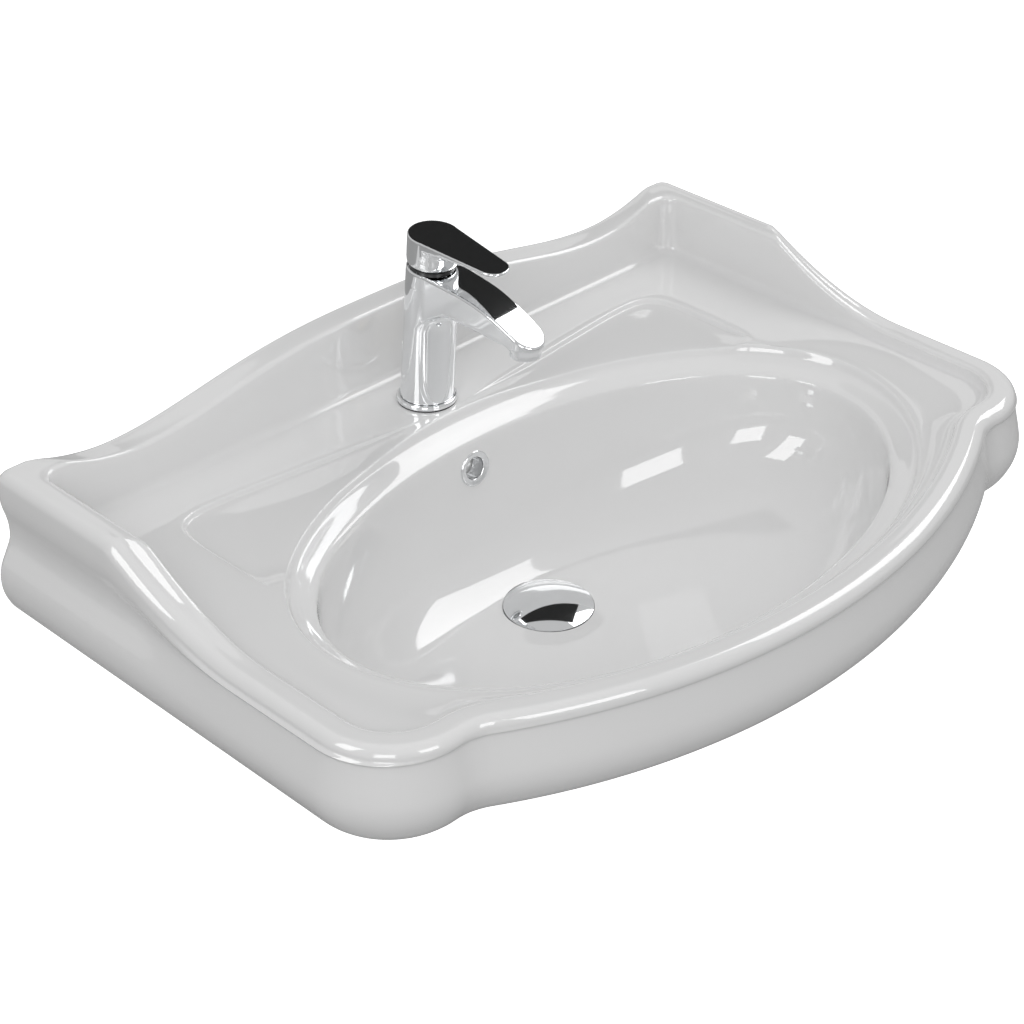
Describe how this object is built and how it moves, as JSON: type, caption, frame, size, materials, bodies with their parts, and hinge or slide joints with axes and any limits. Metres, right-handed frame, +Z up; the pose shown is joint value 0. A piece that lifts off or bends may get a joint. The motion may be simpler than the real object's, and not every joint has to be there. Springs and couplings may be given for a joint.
{
  "type": "washbasin",
  "caption": "Wall-hung washbasin with a shaped upstand and oval bowl, fitted with a single-lever mixer tap, an overflow ring and a push-to-open waste.",
  "frame": {"origin": "on the wall face, midway between the two wall fixing holes", "axes": "+Z up, +Y into the wall, +X along the wall; the basin's front is towards -Y"},
  "size_m": [0.65, 0.446, 0.3475],
  "materials": {
    "glazed_china": "white glazed vitreous china, high gloss",
    "chrome": "polished chrome plate on brass",
    "black_rubber": "soft black rubber",
    "grey_plastic": "grey moulded acetal",
    "blue_plastic": "blue moulded plastic",
    "white_plastic": "white moulded plastic",
    "black_plastic": "black slide ring",
    "ceramic_disc": "lapped alumina",
    "brass": "machined brass",
    "steel": "stainless steel"
  },
  "bodies": {
    "basin_unit": {"basin": "glazed_china", "overflow_ring": "chrome", "tap_body": "chrome", "tap_base_ring": "chrome", "tap_base_seal": "black_rubber", "cartridge_body": "grey_plastic", "cartridge_base_seals": "black_rubber", "cartridge_fixed_disc": "ceramic_disc", "cartridge_nut": "brass", "cartridge_dome": "black_plastic", "aerator_housing": "chrome", "aerator_seal": "black_rubber", "aerator_insert": "white_plastic", "fixing_stud": "brass", "fixing_gasket": "black_rubber", "fixing_plate": "steel", "fixing_nut": "brass", "waste_body": "chrome", "waste_flange_seal": "black_rubber", "waste_under_seal": "black_rubber", "waste_washer": "white_plastic", "waste_back_nut": "brass", "click_carrier": "brass", "click_mechanism": "grey_plastic", "click_spring": "steel"},
    "swivel_unit": {"cartridge_rotor": "blue_plastic", "cartridge_pivot_pin": "steel"},
    "lever_unit": {"lever_handle": "chrome", "lever_grub_screw": "steel", "lever_screw_plug": "grey_plastic", "cartridge_spindle": "steel"},
    "disc_unit": {"cartridge_moving_disc": "ceramic_disc", "cartridge_disc_carrier": "blue_plastic"},
    "plug": {"plug_cap": "chrome", "plug_seal": "black_rubber", "plug_stem": "steel"}
  },
  "joints": [
    {"name": "lever_swivel", "type": "hinge", "parent": "basin_unit", "child": "swivel_unit", "pos_m": [0, -0.07369, 0.1462], "axis": [0, -0.0785, 0.9969], "range_deg": [-45, 45]},
    {"name": "lever_lift", "type": "hinge", "parent": "swivel_unit", "child": "lever_unit", "pos_m": [0, -0.07369, 0.1462], "axis": [-1, 0, 0], "range_deg": [0, 20]},
    {"name": "disc_slide", "type": "slide", "parent": "swivel_unit", "child": "disc_unit", "axis": [0, -0.9969, -0.0785], "range_m": [0, 0.0028]},
    {"name": "plug_click", "type": "slide", "parent": "basin_unit", "child": "plug", "axis": [0, 0, 1], "range_m": [0, 0.008], "deforming": ["click_spring"]}
  ],
  "couplings": [
    {"joint": "disc_slide", "follows": "lever_lift", "m_per_rad": 0.007839}
  ]
}
